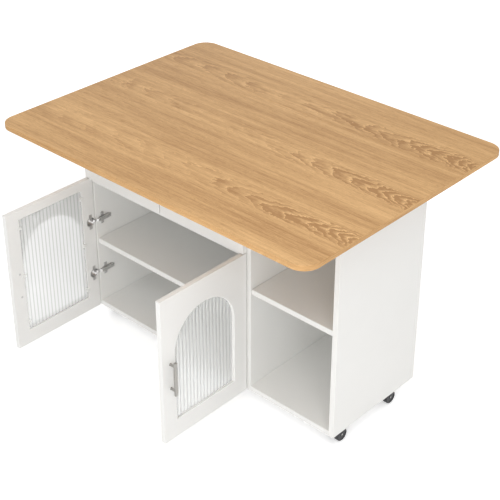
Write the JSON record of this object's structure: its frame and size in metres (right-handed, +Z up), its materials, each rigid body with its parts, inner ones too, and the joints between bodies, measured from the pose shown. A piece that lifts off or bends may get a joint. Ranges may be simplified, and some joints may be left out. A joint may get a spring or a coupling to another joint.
{
  "type": "drop leaf kitchen island",
  "caption": "Rolling kitchen island with a broad oak-look top, hinged drop leaf, glazed arched doors, drawers and an open shelved bay.",
  "frame": {"origin": "on the floor, under the centre of the whole island's bounding box with both doors open by 90 degrees and the leaf up", "axes": "+X along the worktop's length towards the open bay's end, +Y from the door front to the back where the leaf is, +Z up; rest pose has both doors open by 90 degrees and the leaf up"},
  "size_m": [1.39, 1.1156, 0.9],
  "materials": {
    "white_board": "matte white melamine",
    "oak_top": "oak look laminate, satin",
    "ribbed_glass": "clear ribbed glass",
    "nickel": "brushed nickel",
    "steel": "bright zinc",
    "white_plastic": "moulded, satin",
    "black_steel": "black powder coat",
    "black_plastic": "moulded, satin"
  },
  "bodies": {
    "cabinet": {"left_side_panel": "white_board", "right_side_panel": "white_board", "divider_panel": "white_board", "bottom_board": "white_board", "ceiling_board": "white_board", "drawer_divider": "white_board", "top_rails": "white_board", "back_panel": "white_board", "left_shelf": "white_board", "right_shelf": "white_board", "shelf_pins": "steel", "worktop": "oak_top", "hinge_plates": "steel", "hinge_arms": "steel", "hinge_pins": "steel", "drawer_outer_rails": "steel", "caster_plates": "black_steel", "cabinet_screws": "steel", "stay_tracks": "steel", "worktop_hinge_leaves": "steel"},
    "leaf": {"drop_leaf": "oak_top", "drop_leaf_hinge_leaves": "steel", "stay_clevises": "steel", "leaf_screws": "steel"},
    "left_stay": {"left_stay": "steel"},
    "right_stay": {"right_stay": "steel"},
    "left_door": {"left_door_frame": "white_board", "left_door_glass": "ribbed_glass", "left_glass_clips": "white_plastic", "left_door_handle": "nickel", "left_hinge_cups": "steel", "left_door_screws": "steel"},
    "right_door": {"right_door_frame": "white_board", "right_door_glass": "ribbed_glass", "right_glass_clips": "white_plastic", "right_door_handle": "nickel", "right_hinge_cups": "steel", "right_door_screws": "steel"},
    "left_drawer": {"left_drawer_front": "white_board", "left_drawer_box": "white_board", "left_drawer_bottom": "white_board", "left_drawer_handle": "nickel", "left_drawer_inner_rails": "steel"},
    "right_drawer": {"right_drawer_front": "white_board", "right_drawer_box": "white_board", "right_drawer_bottom": "white_board", "right_drawer_handle": "nickel", "right_drawer_inner_rails": "steel"},
    "front_left_caster": {"front_left_caster_hood": "black_plastic", "front_left_caster_axle": "steel"},
    "front_left_wheels": {"front_left_caster_wheels": "black_plastic"},
    "front_right_caster": {"front_right_caster_hood": "black_plastic", "front_right_caster_axle": "steel"},
    "front_right_wheels": {"front_right_caster_wheels": "black_plastic"},
    "back_left_caster": {"back_left_caster_hood": "black_plastic", "back_left_caster_axle": "steel"},
    "back_left_wheels": {"back_left_caster_wheels": "black_plastic"},
    "back_right_caster": {"back_right_caster_hood": "black_plastic", "back_right_caster_axle": "steel"},
    "back_right_wheels": {"back_right_caster_wheels": "black_plastic"}
  },
  "joints": [
    {"name": "leaf_fold", "type": "hinge", "parent": "cabinet", "child": "leaf", "pos_m": [0, 0.3048, 0.8785], "axis": [-1, 0, 0], "range_deg": [0, 90]},
    {"name": "left_stay_fold", "type": "hinge", "parent": "leaf", "child": "left_stay", "pos_m": [-0.42, 0.4248, 0.8675], "axis": [1, 0, 0], "range_deg": [0, 140.34]},
    {"name": "right_stay_fold", "type": "hinge", "parent": "leaf", "child": "right_stay", "pos_m": [0.42, 0.4248, 0.8675], "axis": [1, 0, 0], "range_deg": [0, 140.34]},
    {"name": "left_door_hinge", "type": "hinge", "parent": "cabinet", "child": "left_door", "pos_m": [-0.577, -0.1748, 0.323], "axis": [0, 0, 1], "range_deg": [-5, 90]},
    {"name": "right_door_hinge", "type": "hinge", "parent": "cabinet", "child": "right_door", "pos_m": [0.193, -0.1748, 0.323], "axis": [0, 0, -1], "range_deg": [-5, 90]},
    {"name": "left_drawer_slide", "type": "slide", "parent": "cabinet", "child": "left_drawer", "axis": [0, -1, 0], "range_m": [0, 0.27]},
    {"name": "right_drawer_slide", "type": "slide", "parent": "cabinet", "child": "right_drawer", "axis": [0, -1, 0], "range_m": [0, 0.27]},
    {"name": "front_left_swivel", "type": "hinge", "parent": "cabinet", "child": "front_left_caster", "pos_m": [-0.546, -0.0742, 0.052], "axis": [0, 0, 1], "continuous": true},
    {"name": "front_left_wheel_spin", "type": "hinge", "parent": "front_left_caster", "child": "front_left_wheels", "pos_m": [-0.546, -0.0962, 0.0245], "axis": [1, 0, 0], "continuous": true},
    {"name": "front_right_swivel", "type": "hinge", "parent": "cabinet", "child": "front_right_caster", "pos_m": [0.546, -0.0742, 0.052], "axis": [0, 0, 1], "continuous": true},
    {"name": "front_right_wheel_spin", "type": "hinge", "parent": "front_right_caster", "child": "front_right_wheels", "pos_m": [0.546, -0.0962, 0.0245], "axis": [1, 0, 0], "continuous": true},
    {"name": "back_left_swivel", "type": "hinge", "parent": "cabinet", "child": "back_left_caster", "pos_m": [-0.546, 0.1948, 0.052], "axis": [0, 0, 1], "continuous": true},
    {"name": "back_left_wheel_spin", "type": "hinge", "parent": "back_left_caster", "child": "back_left_wheels", "pos_m": [-0.546, 0.1728, 0.0245], "axis": [1, 0, 0], "continuous": true},
    {"name": "back_right_swivel", "type": "hinge", "parent": "cabinet", "child": "back_right_caster", "pos_m": [0.546, 0.1948, 0.052], "axis": [0, 0, 1], "continuous": true},
    {"name": "back_right_wheel_spin", "type": "hinge", "parent": "back_right_caster", "child": "back_right_wheels", "pos_m": [0.546, 0.1728, 0.0245], "axis": [1, 0, 0], "continuous": true}
  ],
  "couplings": [
    {"joint": "left_stay_fold", "follows": "leaf_fold", "ratio": 1.5582},
    {"joint": "right_stay_fold", "follows": "leaf_fold", "ratio": 1.5582}
  ]
}
